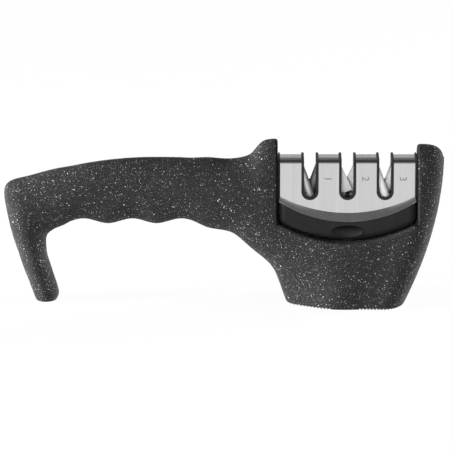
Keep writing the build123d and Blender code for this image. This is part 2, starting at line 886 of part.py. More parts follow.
def main():
    os.makedirs("parts", exist_ok=True)
    save("handle_shell_front", make_shell(-1))
    save("handle_shell_rear", make_shell(1))
    save("base_grip_pad", make_pad())
    save("base_plate", make_plate())
    save("base_screws", make_base_screws())
    save("module_base", make_module_base(), on_module=True)
    save("steel_cover", make_steel_cover(), on_module=True)
    save("carrier_screws", make_carrier_screws(), on_module=True)
    save("module_base_screws", make_lower_screws(), on_module=True)
    left, middle, right = slot_places()
    for name, side in (("front", -1), ("rear", 1)):
        save(f"carrier_{name}", make_carrier(side), on_module=True)
        save(f"diamond_rod_{name}", make_rod(left, side, rod_radius, rod_length), on_module=True)
        save(f"steel_blade_{name}", make_blade(middle, side, 0), on_module=True)
        save(f"ceramic_rod_{name}", make_rod(right, side, rod_radius, rod_length), on_module=True)
        save(f"release_button_{name}", make_button(side), on_module=True)
        save(f"button_spring_{name}", make_leaf(side), on_module=True)


if __name__ == "__main__":
    main()
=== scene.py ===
import math

import bmesh
import bpy
from mathutils import Matrix, Vector


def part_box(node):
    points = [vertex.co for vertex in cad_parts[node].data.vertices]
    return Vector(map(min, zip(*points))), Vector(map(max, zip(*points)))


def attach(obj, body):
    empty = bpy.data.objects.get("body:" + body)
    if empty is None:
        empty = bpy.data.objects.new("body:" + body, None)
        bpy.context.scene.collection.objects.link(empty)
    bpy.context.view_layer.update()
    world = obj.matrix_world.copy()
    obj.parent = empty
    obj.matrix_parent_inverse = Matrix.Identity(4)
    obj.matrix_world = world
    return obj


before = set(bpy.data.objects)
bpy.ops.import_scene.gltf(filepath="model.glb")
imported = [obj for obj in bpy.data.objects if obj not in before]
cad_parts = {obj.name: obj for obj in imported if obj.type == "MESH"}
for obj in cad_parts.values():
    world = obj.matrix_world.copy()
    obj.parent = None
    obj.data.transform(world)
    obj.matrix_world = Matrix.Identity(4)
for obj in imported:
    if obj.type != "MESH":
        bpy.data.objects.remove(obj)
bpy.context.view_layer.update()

bl_info = {
    "name": "Three-stage knife sharpener",
    "version": (1, 0, 0),
    "blender": (4, 5, 0),
    "location": "View3D > Sidebar > Sharpener",
    "description": "Finishes, markings and studio stage of a hand-held three-stage knife sharpener",
    "category": "Object",
}

MERGE_REACH = 0.000002  # metres, under which two points are one
FLECK_SHARE = 0.68  # of the places where a fleck could be, the share that has one
BRUSH_LENGTH = 0.02  # metres along which a brush line holds its tone
NUMERAL_SHARE = 0.7  # a numeral's height as a share of its font size
FLOOR_REACH = 3.0  # metres from the floor's middle to its edges
FLOOR_GLOW = 0.95  # how near to white the camera sees the floor
SENSOR_WIDTH = 36.0  # millimetres
FAR_LIMIT = 20.0  # metres, past which the camera sees nothing
LAMP_AIM = Vector((0.0, 0.0, 0.04))  # metres, the point that every lamp shines on
MOULD_WAVES = 5200.0  # waves per metre of the grain on the black mouldings
MOULD_DEPTH = 0.000012  # metres, depth of that grain
TOOTH_DEPTH = 0.00001  # metres, depth of what grinding, turning and etching leave

# Waves per metre along x, y and z of the broad tones and the smudges on the steel cover
BROAD_WAVES = (420.0, 9.0, 9.0)
SMUDGE_WAVES = (900.0, 160.0, 160.0)

# Each lamp's name, place and width in metres, and power in watts
LAMPS = (
    ("front_lamp", (-0.2, -1.5, 0.35), 0.65, 12.0),
    ("left_lamp", (-1.3, -0.12, 0.27), 0.45, 90.0),
    ("right_lamp", (1.2, 0.5, 0.25), 0.45, 58.0),
)

# Brightness of the sky from the horizon, at 0, to straight above, at 1
SKY_STOPS = ((0.0, 1.0), (0.15, 1.0), (0.3, 0.9), (0.4, 0.17), (0.8, 0.05), (1.0, 0.11))


def middle_of(node):
    """Middle of a node's box at rest."""
    low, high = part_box(node)
    return (low + high) / 2


def grey(level):
    """Linear colour of a grey whose screen value is level, from 0 to 255."""
    share = level / 255.0
    value = share / 12.92 if share <= 0.04045 else ((share + 0.055) / 1.055) ** 2.4
    return (value, value, value, 1.0)


def toned(colour, share):
    """A colour made darker, or paler where the share is above 1."""
    return tuple(part * share for part in colour[:3]) + (1.0,)


class Wire:
    """A socket of a node tree that plain arithmetic works on."""

    def __init__(self, wiring, socket):
        self.wiring = wiring
        self.socket = socket

    def sibling(self, output):
        """Another output of the same node."""
        return Wire(self.wiring, self.socket.node.outputs[output])

    def compute(self, operation, *others):
        """The result of a Math node on this wire and any other terms."""
        terms = dict(enumerate((self,) + others))
        return self.wiring.node("ShaderNodeMath", {"operation": operation}, terms)

    def __add__(self, other):
        return self.compute("ADD", other)

    __radd__ = __add__

    def __mul__(self, other):
        return self.compute("MULTIPLY", other)

    __rmul__ = __mul__

    def __sub__(self, other):
        return self.compute("SUBTRACT", other)

    def __rsub__(self, other):
        return self.wiring.node("ShaderNodeMath", {"operation": "SUBTRACT"}, {0: other, 1: self})

    def __truediv__(self, other):
        return self.compute("DIVIDE", other)

    def __lt__(self, other):
        return self.compute("LESS_THAN", other)

    def __gt__(self, other):
        return self.compute("GREATER_THAN", other)

    def __abs__(self):
        return self.compute("ABSOLUTE")

    def larger(self, other):
        return self.compute("MAXIMUM", other)

    def smaller(self, other):
        return self.compute("MINIMUM", other)


class Wiring:
    """A node tree, with the one method that adds any node to it."""

    def __init__(self, tree):
        self.tree = tree

    def feed(self, socket, value):
        """Links a wire to a socket, or sets the socket to a plain value."""
        if isinstance(value, Wire):
            self.tree.links.new(value.socket, socket)
        else:
            socket.default_value = value

    def node(self, kind, settings=None, sockets=None, stops=(), output=0):
        """Adds a node: its settings first, then its sockets by name or number. The stops of a ramp
        are pairs of position and grey level."""
        made = self.tree.nodes.new(kind)
        for key, value in (settings or {}).items():
            setattr(made, key, value)
        for place, (position, level) in enumerate(stops):
            elements = made.color_ramp.elements
            element = elements[place] if place < len(elements) else elements.new(position)
            element.position = position
            element.color = (level, level, level, 1.0)
        for key, value in (sockets or {}).items():
            self.feed(made.inputs[key], value)
        return Wire(self, made.outputs[output])


class Finish(Wiring):
    """A material under construction, with the shader that shows it."""

    def __init__(self, name, **constants):
        self.material = bpy.data.materials.new(name)
        self.material.use_nodes = True
        super().__init__(self.material.node_tree)
        self.shader = self.tree.nodes["Principled BSDF"]
        for socket, value in constants.items():
            self.shader.inputs[socket.replace("_", " ")].default_value = value

    def place(self, scale=(1.0, 1.0, 1.0)):
        """Object coordinates in metres, stretched by a scale."""
        start = self.node("ShaderNodeTexCoord", output="Object")
        return self.node("ShaderNodeMapping", {"vector_type": "POINT"}, {"Vector": start, "Scale": scale})

    def axes(self, vector):
        """The three parts of a vector."""
        first = self.node("ShaderNodeSeparateXYZ", sockets={"Vector": vector})
        return [first.sibling(part) for part in ("X", "Y", "Z")]

    def noise(self, vector, scale, detail=2.0, roughness=0.5, output="Fac"):
        """Cloudy noise from 0 to 1. Its scale is in waves per metre."""
        return self.node("ShaderNodeTexNoise", {"noise_dimensions": "3D"},
                         {"Vector": vector, "Scale": scale, "Detail": detail, "Roughness": roughness},
                         output=output)

    def brush_lines(self, width):
        """Noise drawn out over the bends of a sheet into brush lines of one width."""
        vector = self.place(scale=(1.0 / width, 1.0 / BRUSH_LENGTH, 1.0 / BRUSH_LENGTH))
        return self.noise(vector, scale=1.0, detail=3.0, roughness=0.65)

    def cells(self, vector, scale):
        """Distance to the nearest scattered point, and that point's random colour."""
        near = self.node("ShaderNodeTexVoronoi", {"feature": "F1"},
                         {"Vector": vector, "Scale": scale, "Randomness": 1.0}, output="Distance")
        return near, near.sibling("Color")

    def between(self, value, low, high, to_low=0.0, to_high=1.0, curve="SMOOTHSTEP"):
        """Step from to_low at low to to_high at high, smooth unless another curve is named."""
        return self.node("ShaderNodeMapRange", {"interpolation_type": curve},
                         {"Value": value, "From Min": low, "From Max": high,
                          "To Min": to_low, "To Max": to_high})

    def blend(self, share, first, second):
        """Mix of two colours."""
        return self.node("ShaderNodeMix", {"data_type": "RGBA"}, {0: share, 6: first, 7: second}, output=2)

    def shift(self, vector, amount, scale):
        """Moves a vector by a small random wobble, so that outlines turn ragged."""
        wobble = self.noise(vector, scale, detail=1.0, output="Color")
        centred = self.node("ShaderNodeVectorMath", {"operation": "SUBTRACT"},
                            {0: wobble, 1: (0.5, 0.5, 0.5)})
        scaled = self.node("ShaderNodeVectorMath", {"operation": "SCALE"}, {0: centred, "Scale": amount})
        return self.node("ShaderNodeVectorMath", {"operation": "ADD"}, {0: vector, 1: scaled})

    def colour(self, wire):
        """Colours the surface."""
        self.feed(self.shader.inputs["Base Color"], wire)

    def roughness(self, wire):
        """Dulls the surface, from 0 for a mirror to 1."""
        self.feed(self.shader.inputs["Roughness"], wire)

    def bump(self, height, depth):
        """Raises the surface by a height from 0 to 1 times a depth in metres."""
        bumped = self.node("ShaderNodeBump", sockets={"Height": height, "Distance": depth, "Strength": 1.0},
                           output="Normal")
        self.feed(self.shader.inputs["Normal"], bumped)


def flecks(finish, vector, spacing, radii, strengths, seed):
    """Mask of scattered flecks, each with its own radius and strength. Spacing and radii are in metres."""
    smallest, largest = radii
    faintest, strongest = strengths
    moved = finish.node("ShaderNodeMapping", {"vector_type": "POINT"},
                        {"Vector": vector, "Location": (seed, seed * 0.7, seed * 1.3)})
    near, colour = finish.cells(moved, 1.0 / spacing)
    chance, size, light = finish.axes(colour)
    radius = smallest / spacing + size * size * ((largest - smallest) / spacing)
    inside = finish.between(near / radius, 0.8, 1.05, 1.0, 0.0, curve="LINEAR")
    return inside * (chance < FLECK_SHARE) * (faintest + light * (strongest - faintest))


def speckled_plastic(settings):
    """Charcoal moulded plastic with pale mineral flecks of many sizes and a fine mould grain, with painted
    shade near black on the walls of the module's dock.
    """
    finish = Finish("speckled_plastic", Specular_IOR_Level=0.1)
    place = finish.place()
    size = settings.fleck_size
    ragged = finish.shift(place, amount=size * 0.9, scale=1.6 / size)
    large = flecks(finish, ragged, size * 3.0, (size * 0.24, size * 0.55), (0.5, 1.0), seed=0.31)
    middle = flecks(finish, ragged, size * 1.75, (size * 0.2, size * 0.38), (0.18, 0.8), seed=0.17)
    fine = flecks(finish, ragged, size * 1.0, (size * 0.12, size * 0.26), (0.06, 0.36), seed=0.53)
    dust = flecks(finish, place, size * 0.62, (size * 0.1, size * 0.2), (0.03, 0.16), seed=0.71)
    mask = large.larger(middle).larger(fine).larger(dust)
    cloud = finish.noise(place, scale=0.75 / size, detail=3.0, roughness=0.75)
    bloom = finish.noise(place, scale=60.0)
    mottled = finish.blend(finish.between(cloud, 0.38, 0.62), settings.shade_colour, settings.body_colour)
    base = finish.blend(finish.between(bloom, 0.35, 0.7, 0.0, 0.22), mottled, settings.dust_colour)
    across, _, up = finish.axes(place)
    # Painted shade: above the dock's foot, the walls of the module's dock are coloured near black, standing
    # in for the shadow in the gap around the module.
    aside = abs(across - (settings.dock_middle - settings.mouth_shift))
    dock = (aside < settings.mouth_half) * (up > settings.dock_foot)
    speckled = finish.blend(mask, base, settings.fleck_colour)
    finish.colour(finish.blend(dock, speckled, settings.dock_colour))
    finish.roughness(0.55 - mask * 0.16 + cloud * 0.1)
    grain = finish.noise(place, scale=4200.0)
    finish.bump(grain * 0.6 + mask * 0.4, settings.grain_depth)
    return finish.material


def seat_lobes(settings, finish, place):
    """Mask of a painted highlight: pale patches on the lobes at the foot of the steel blades, either side
    of the middle slot.
    """
    across, depth, up = finish.axes(place)
    aside = abs(across - settings.dock_middle)
    beside = finish.between(aside, settings.lobe_start, settings.lobe_start * 2)
    inside = (aside < settings.lobe_end) * (abs(depth) < settings.lobe_depth)
    return beside * inside * (abs(up - settings.lobe_level) < settings.lobe_height / 2)


def black_plastic(settings, name, roughness=0.5, gloss=0.08, tone=1.0, highlight_mask=None):
    """Satin black moulded plastic with a faint spark-eroded grain, and grey where a mask of painted
    highlight is given.
    """
    finish = Finish(name, Specular_IOR_Level=gloss)
    place = finish.place()
    cloud = finish.noise(place, scale=260.0)
    colour = finish.blend(cloud, toned(settings.base_colour, 0.6 * tone), toned(settings.base_colour, tone))
    if highlight_mask:
        colour = finish.blend(highlight_mask(settings, finish, place), colour, settings.lobe_colour)
    finish.colour(colour)
    finish.roughness(roughness + (cloud - 0.5) * 0.16)
    finish.bump(finish.noise(place, scale=MOULD_WAVES), MOULD_DEPTH)
    return finish.material


def button_plastic(settings):
    """The base's plastic, darker toward the top of the dished button as painted shade and paler toward its
    lower edge as painted light.
    """
    finish = Finish("button_plastic", Specular_IOR_Level=0.08)
    place = finish.place()
    up = finish.axes(place)[2]
    reach = settings.button_height / 2
    # Painted shade and light: near black at the top of the dish, where its upper wall is shaded, and paler
    # toward its lower edge, which catches the light.
    wear_and_shade = finish.between(up, settings.button_middle - reach, settings.button_middle + reach, 1.0, 0.0)
    finish.colour(finish.blend(wear_and_shade, toned(settings.base_colour, 0.22), toned(settings.base_colour, 1.25)))
    finish.roughness(0.5 + wear_and_shade * 0.1)
    finish.bump(finish.noise(place, scale=MOULD_WAVES), MOULD_DEPTH)
    return finish.material


def grip_rubber():
    """Dull black rubber, a little dusty."""
    finish = Finish("grip_rubber", Specular_IOR_Level=0.25)
    place = finish.place()
    dust = finish.noise(place, scale=900.0, detail=4.0, roughness=0.7)
    finish.colour(finish.blend(finish.between(dust, 0.4, 0.75), grey(26), grey(52)))
    finish.roughness(0.78 + dust * 0.15)
    finish.bump(finish.noise(place, scale=3000.0, detail=3.0), depth=0.00003)
    return finish.material


def brushed_steel(settings, name, level, roughness, metal):
    """Flat sheet steel of a level of grey, with fine brush lines."""
    finish = Finish(name, Metallic=metal)
    lines = finish.brush_lines(settings.line_width)
    finish.colour(finish.blend(finish.between(lines, 0.3, 0.7), grey(level * 0.95), grey(level)))
    finish.roughness(roughness + (lines - 0.5) * 0.2)
    finish.bump(lines * settings.line_depth, depth=1.0)
    return finish.material


def cover_steel(settings):
    """Bent sheet steel with brush lines that run over the bends, duller on the flared lip, where painted
    shade darkens the lip toward its middle.
    """
    finish = Finish("cover_steel", Metallic=1.0)
    steel = settings.steel_colour
    lines = finish.brush_lines(settings.line_width)
    broad = finish.noise(finish.place(scale=BROAD_WAVES), scale=1.0)
    smudge = finish.noise(finish.place(scale=SMUDGE_WAVES), scale=1.0, detail=4.0, roughness=0.7)
    across, depth, _ = finish.axes(finish.place())
    past_bend = abs(depth) - settings.face_front
    lip = finish.between(past_bend, 0.0, settings.lip_edge)
    aside = abs(across - settings.dock_middle)
    end = finish.between(aside, settings.lip_spread * 0.3, settings.lip_spread)
    rubbed = finish.between(smudge, 0.35, 0.65, 0.15, 0.5) + finish.between(lines, 0.35, 0.65, 0.0, 0.5)
    streaked = finish.blend(finish.between((lines + broad) * 0.5, 0.3, 0.7), toned(steel, 0.9), steel)
    # Painted shade: the lip is coloured darker toward its middle than at its ends; the smudges and brush
    # lines that break it up are the steel's own marks.
    finish.colour(finish.blend(rubbed * (1.0 - end) * lip, streaked, toned(steel, 0.82)))
    finish.roughness(settings.roughness + (lines - 0.5) * 0.2 + lip * 0.44)
    crown = finish.between(abs(depth), 0.0, settings.deck_half)
    opened = (past_bend / settings.lip_fold).larger(0.0).smaller(1.0)
    fold = (opened - opened * opened * 0.5) * end * (settings.lip_fold * settings.lip_softness)
    finish.bump(lines * settings.line_depth - crown * crown * settings.deck_crown - fold, depth=1.0)
    return finish.material


def diamond_grit(settings, name, low, high):
    """Nickel-plated rod set with fine diamond grit that sparkles between two levels of grey."""
    finish = Finish(name, Metallic=0.8)
    near, colour = finish.cells(finish.place(), 1.0 / settings.grit_size)
    glint, height, _ = finish.axes(colour)
    finish.colour(finish.blend(finish.between(glint, 0.3, 1.0), grey(low), grey(high)))
    finish.roughness(0.5 + height * 0.12)
    finish.bump(1.0 - near, settings.grit_size * 0.02)
    return finish.material


def white_ceramic():
    """Fired white ceramic with a very fine ground tooth."""
    finish = Finish("white_ceramic", Specular_IOR_Level=0.5)
    place = finish.place()
    tooth = finish.noise(place, scale=2600.0, detail=3.0)
    cloud = finish.noise(place, scale=140.0, detail=1.0)
    finish.colour(finish.blend(cloud, (0.93, 0.93, 0.925, 1.0), (0.98, 0.98, 0.975, 1.0)))
    finish.roughness(0.3 + tooth * 0.15)
    finish.bump(tooth, TOOTH_DEPTH)
    return finish.material


def screw_steel():
    """Turned zinc-plated screw steel."""
    finish = Finish("screw_steel", Metallic=1.0)
    wear_and_shade = finish.noise(finish.place(), scale=1500.0)
    finish.colour(finish.blend(wear_and_shade, grey(150), grey(190)))
    finish.roughness(0.28 + wear_and_shade * 0.2)
    finish.bump(wear_and_shade, TOOTH_DEPTH)
    return finish.material


def etched_mark(settings):
    """Steel dulled by etching."""
    finish = Finish("etched_mark", Metallic=1.0)
    frost = finish.noise(finish.place(), scale=6000.0)
    finish.colour(finish.blend(frost, settings.mark_colour, grey(176)))
    finish.roughness(0.55 + frost * 0.2)
    finish.bump(frost, TOOTH_DEPTH)
    return finish.material


def dress(material, *nodes):
    """Gives CAD nodes a finish."""
    for name in nodes:
        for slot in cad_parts[name].material_slots:
            slot.material = material


def mesh_of(shape, name):
    """Turns a bmesh into a mesh of that name."""
    mesh = bpy.data.meshes.new(name)
    shape.to_mesh(mesh)
    shape.free()
    return mesh


def add_object(name, data):
    """Puts data in the scene as an object at the origin."""
    made = bpy.data.objects.new(name, data)
    bpy.context.scene.collection.objects.link(made)
    return made


def add_piece(name, shape, material, body):
    """Puts a finished bmesh in the scene as a piece that rides on a body."""
    piece = add_object(name, mesh_of(shape, name))
    piece.data.materials.clear()
    piece.data.materials.append(material)
    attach(piece, body)


class SHARPENER_PG_sizes(bpy.types.PropertyGroup):
    """Sizes and colours of the finishes."""

    body_colour: bpy.props.FloatVectorProperty(
        name="Body", description="Charcoal of the handle", subtype="COLOR", size=4,
        default=grey(40), min=0.0, max=1.0)
    shade_colour: bpy.props.FloatVectorProperty(
        name="Body shade", description="Darker mottling of the handle", subtype="COLOR", size=4,
        default=grey(28), min=0.0, max=1.0)
    dust_colour: bpy.props.FloatVectorProperty(
        name="Body bloom", description="Paler mottling of the handle", subtype="COLOR", size=4,
        default=grey(47), min=0.0, max=1.0)
    fleck_colour: bpy.props.FloatVectorProperty(
        name="Flecks", description="Mineral flecks in the handle", subtype="COLOR", size=4,
        default=grey(246), min=0.0, max=1.0)
    fleck_size: bpy.props.FloatProperty(
        name="Fleck size", description="Width of the largest flecks", default=0.00043,
        min=0.0001, max=0.01, subtype="DISTANCE", unit="LENGTH")
    grain_depth: bpy.props.FloatProperty(
        name="Grain depth", description="Depth of the mould grain", default=0.00003,
        min=0.0, max=0.001, subtype="DISTANCE", unit="LENGTH")
    dock_middle: bpy.props.FloatProperty(
        name="Dock middle", description="Place along the sharpener of the module's middle",
        default=middle_of("module_base").x, min=-0.2, max=0.2, subtype="DISTANCE", unit="LENGTH")
    # Painted shade: mouth_shift, mouth_half and dock_foot place the near-black shade painted on the walls
    # of the module's dock.
    mouth_shift: bpy.props.FloatProperty(
        name="Mouth shift", description="How far the dock's mouth lies toward the grip from its middle",
        default=0.0003, min=-0.01, max=0.01, subtype="DISTANCE", unit="LENGTH")
    mouth_half: bpy.props.FloatProperty(
        name="Mouth half length", description="From the middle of the dock's mouth to its ends",
        default=0.0339, min=0.001, max=0.2, subtype="DISTANCE", unit="LENGTH")
    dock_foot: bpy.props.FloatProperty(
        name="Dock foot", description="Height at which the dark walls of the dock end",
        default=0.0385, min=0.0, max=0.2, subtype="DISTANCE", unit="LENGTH")
    # Painted shade: the near black painted on the dock's walls.
    dock_colour: bpy.props.FloatVectorProperty(
        name="Dock", description="Black of the walls of the dock", subtype="COLOR", size=4,
        default=grey(14), min=0.0, max=1.0)
    # The strips at the dock's end walls are painted shade: thin near-black sheets standing in for the
    # shadow in the gap at the module's ends.
    dock_wall: bpy.props.FloatProperty(
        name="Dock wall", description="From the module's middle to the end walls of its dock",
        default=0.03325, min=0.001, max=0.2, subtype="DISTANCE", unit="LENGTH")
    guide_thickness: bpy.props.FloatProperty(
        name="Guide thickness", description="Thickness of the strips on the dock's end walls",
        default=0.0002, min=0.00005, max=0.002, subtype="DISTANCE", unit="LENGTH")
    guide_depth: bpy.props.FloatProperty(
        name="Guide depth", description="Size of a guide strip from front to back",
        default=0.01, min=0.001, max=0.05, subtype="DISTANCE", unit="LENGTH")
    guide_height: bpy.props.FloatProperty(
        name="Guide height", description="How far a guide strip reaches down from the carrier's top",
        default=0.03, min=0.001, max=0.1, subtype="DISTANCE", unit="LENGTH")
    lobe_start: bpy.props.FloatProperty(
        name="Lobe start", description="From the middle slot's centre to where its lobes start",
        default=0.0006, min=0.0001, max=0.005, subtype="DISTANCE", unit="LENGTH")
    lobe_end: bpy.props.FloatProperty(
        name="Lobe end", description="From the middle slot's centre to where its lobes end",
        default=0.0028, min=0.0005, max=0.01, subtype="DISTANCE", unit="LENGTH")
    lobe_level: bpy.props.FloatProperty(
        name="Lobe level", description="Height above the worktop of the lobes, where the blades stand",
        default=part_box("steel_blade_front")[0].z, min=0.0, max=0.2, subtype="DISTANCE", unit="LENGTH")
    lobe_height: bpy.props.FloatProperty(
        name="Lobe height", description="Height of the lobes' polished faces",
        default=0.003, min=0.0005, max=0.01, subtype="DISTANCE", unit="LENGTH")
    lobe_depth: bpy.props.FloatProperty(
        name="Lobe depth", description="How far the lobes reach to the front and rear of the middle",
        default=0.0047, min=0.0005, max=0.02, subtype="DISTANCE", unit="LENGTH")
    # Painted highlight: the pale grey painted on the lobes at the middle slot's floor.
    lobe_colour: bpy.props.FloatVectorProperty(
        name="Lobes", description="Polished grey of the lobes under the blades", subtype="COLOR", size=4,
        default=grey(125), min=0.0, max=1.0)
    parting_gap: bpy.props.FloatProperty(
        name="Parting gap", description="Gap between the two halves of the handle",
        default=0.00012, min=0.00002, max=0.001, subtype="DISTANCE", unit="LENGTH")
    parting_groove: bpy.props.FloatProperty(
        name="Parting groove", description="How far the tongue in the gap lies under the surface",
        default=0.00025, min=0.00005, max=0.002, subtype="DISTANCE", unit="LENGTH")
    base_colour: bpy.props.FloatVectorProperty(
        name="Black parts", description="Colour of the black mouldings", subtype="COLOR", size=4,
        default=grey(38), min=0.0, max=1.0)
    steel_colour: bpy.props.FloatVectorProperty(
        name="Steel", description="Colour of the brushed cover", subtype="COLOR", size=4,
        default=grey(217), min=0.0, max=1.0)
    roughness: bpy.props.FloatProperty(
        name="Steel roughness", description="How dull the brushing leaves the cover", default=0.3,
        min=0.0, max=1.0, subtype="FACTOR")
    face_front: bpy.props.FloatProperty(
        name="Face front", description="From the middle to the cover's face, past which its lip flares out",
        default=0.0072, min=0.0, max=0.05, subtype="DISTANCE", unit="LENGTH")
    lip_edge: bpy.props.FloatProperty(
        name="Lip edge", description="Depth over which the cover's finish turns into the lip's",
        default=0.0004, min=0.00005, max=0.01, subtype="DISTANCE", unit="LENGTH")
    # Painted shade: lip_spread sets where the darkening painted on the lip's middle fades out toward its
    # ends.
    lip_spread: bpy.props.FloatProperty(
        name="Lip spread", description="From the lip's dull middle to its brighter ends",
        default=0.031, min=0.001, max=0.2, subtype="DISTANCE", unit="LENGTH")
    lip_fold: bpy.props.FloatProperty(
        name="Lip fold", description="Depth over which the fold fades toward the lip's ends",
        default=0.0022, min=0.0001, max=0.02, subtype="DISTANCE", unit="LENGTH")
    lip_softness: bpy.props.FloatProperty(
        name="Lip softness", description="How far the fold opens at the lip's ends",
        default=1.2, min=0.0, max=5.0, subtype="FACTOR")
    # Place and height of the painted shade and light on the dished release buttons.
    button_middle: bpy.props.FloatProperty(
        name="Button middle", description="Height of the middle of the release buttons",
        default=0.0357, min=0.0, max=0.2, subtype="DISTANCE", unit="LENGTH")
    button_height: bpy.props.FloatProperty(
        name="Button height", description="Height over which a button's tone changes",
        default=0.005, min=0.001, max=0.05, subtype="DISTANCE", unit="LENGTH")
    deck_half: bpy.props.FloatProperty(
        name="Deck half depth", description="Half the depth of the cover's top, bends included",
        default=0.0056, min=0.001, max=0.05, subtype="DISTANCE", unit="LENGTH")
    deck_crown: bpy.props.FloatProperty(
        name="Deck crown", description="How far the sheet falls off toward its bends",
        default=0.0004, min=0.0, max=0.002, subtype="DISTANCE", unit="LENGTH")
    line_width: bpy.props.FloatProperty(
        name="Brush line", description="Width of one brush line", default=0.00022,
        min=0.00005, max=0.005, subtype="DISTANCE", unit="LENGTH")
    line_depth: bpy.props.FloatProperty(
        name="Brush depth", description="Depth of one brush line", default=0.000006,
        min=0.0, max=0.001, subtype="DISTANCE", unit="LENGTH")
    mark_colour: bpy.props.FloatVectorProperty(
        name="Etching", description="Colour of the etched numerals", subtype="COLOR", size=4,
        default=grey(150), min=0.0, max=1.0)
    mark_height: bpy.props.FloatProperty(
        name="Numeral height", description="Height of the etched numerals", default=0.0034,
        min=0.001, max=0.01, subtype="DISTANCE", unit="LENGTH")
    mark_thickness: bpy.props.FloatProperty(
        name="Numeral thickness", description="How far the numerals reach either side of their plane",
        default=0.00001, min=0.000001, max=0.001, subtype="DISTANCE", unit="LENGTH")
    mark_offset: bpy.props.FloatProperty(
        name="Numeral offset", description="From the middle of a slot to the numeral beside it",
        default=0.0084, min=0.0, max=0.05, subtype="DISTANCE", unit="LENGTH")
    mark_level: bpy.props.FloatProperty(
        name="Numeral level", description="Height of the numerals above the worktop",
        default=0.0605, min=0.0, max=0.2, subtype="DISTANCE", unit="LENGTH")
    slot_pitch: bpy.props.FloatProperty(
        name="Slot pitch", description="From the middle of one knife slot to the next",
        default=(middle_of("ceramic_rod_front").x - middle_of("diamond_rod_front").x) / 2,
        min=0.001, max=0.1, subtype="DISTANCE", unit="LENGTH")
    grit_size: bpy.props.FloatProperty(
        name="Grit", description="Size of one grain of diamond", default=0.00018,
        min=0.00005, max=0.002, subtype="DISTANCE", unit="LENGTH")


class SHARPENER_PG_stage(bpy.types.PropertyGroup):
    """Where the camera stands and how bright the studio is."""

    elevation: bpy.props.FloatProperty(
        name="Elevation", description="Angle from which the camera looks down",
        default=math.radians(14.0), subtype="ANGLE", unit="ROTATION")
    view_width: bpy.props.FloatProperty(
        name="View width", description="Width of the scene that the frame takes in",
        default=0.2163, min=0.05, max=2.0, subtype="DISTANCE", unit="LENGTH")
    distance: bpy.props.FloatProperty(
        name="Camera distance", description="From the camera to the middle of the object",
        default=2.4, min=0.3, max=10.0, subtype="DISTANCE", unit="LENGTH")
    aim: bpy.props.FloatVectorProperty(
        name="Aim", description="Point in the middle of the frame",
        default=(0.00105, 0.0, 0.0356), subtype="TRANSLATION", unit="LENGTH", size=3)
    sky: bpy.props.FloatProperty(
        name="Sky", description="Brightness of the surroundings", default=0.7, min=0.0, max=3.0)


class SHARPENER_OT_handle(bpy.types.Operator):
    """Finish both halves of the speckled handle"""

    bl_idname = "sharpener.handle"
    bl_label = "Handle"

    def execute(self, context):
        dress(speckled_plastic(context.scene.sharpener_sizes), "handle_shell_front", "handle_shell_rear")
        return {"FINISHED"}


class SHARPENER_OT_tongue(bpy.types.Operator):
    """Add the thin tongue that closes the parting line between the halves of the handle"""

    bl_idname = "sharpener.tongue"
    bl_label = "Parting tongue"

    def execute(self, context):
        sizes = context.scene.sharpener_sizes
        parting = -sizes.parting_gap / 2
        tongue = bmesh.new()
        tongue.from_mesh(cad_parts["handle_shell_front"].data)
        bmesh.ops.remove_doubles(tongue, verts=tongue.verts, dist=MERGE_REACH)
        outside = [face for face in tongue.faces
                   if any(abs(vert.co.y - parting) > MERGE_REACH for vert in face.verts)]
        bmesh.ops.delete(tongue, geom=outside, context="FACES")
        if not tongue.faces:
            raise RuntimeError("the front half has no parting face")
        rim = bmesh.ops.inset_region(tongue, faces=tongue.faces[:], use_boundary=True,
                                     thickness=sizes.parting_groove)
        bmesh.ops.delete(tongue, geom=rim["faces"], context="FACES")
        raised = bmesh.ops.extrude_face_region(tongue, geom=tongue.faces[:], use_keep_orig=True)
        moved = [item for item in raised["geom"] if isinstance(item, bmesh.types.BMVert)]
        bmesh.ops.translate(tongue, verts=moved, vec=(0.0, sizes.parting_gap, 0.0))
        bmesh.ops.recalc_face_normals(tongue, faces=tongue.faces[:])
        add_piece("parting_tongue", tongue, bpy.data.materials["speckled_plastic"], "handle")
        return {"FINISHED"}


class SHARPENER_OT_underside(bpy.types.Operator):
    """Finish the plate, the ribbed pad and the screws under the head"""

    bl_idname = "sharpener.underside"
    bl_label = "Underside"

    def execute(self, context):
        dress(black_plastic(context.scene.sharpener_sizes, "plate_plastic"), "base_plate")
        dress(grip_rubber(), "base_grip_pad")
        dress(screw_steel(), "base_screws")
        return {"FINISHED"}


class SHARPENER_OT_module(bpy.types.Operator):
    """Finish the black base, the carrier halves and what fixes them"""

    bl_idname = "sharpener.module"
    bl_label = "Module"

    def execute(self, context):
        sizes = context.scene.sharpener_sizes
        dress(black_plastic(sizes, "base_plastic"), "module_base")
        # Painted highlight: pale grey patches on the floor of the middle slot, either side of its centre.
        carrier = black_plastic(sizes, "carrier_plastic", gloss=0.2, highlight_mask=seat_lobes)
        dress(carrier, "carrier_front", "carrier_rear")
        dress(button_plastic(sizes), "release_button_front", "release_button_rear")
        dress(screw_steel(), "carrier_screws", "module_base_screws", "button_spring_front",
              "button_spring_rear")
        return {"FINISHED"}


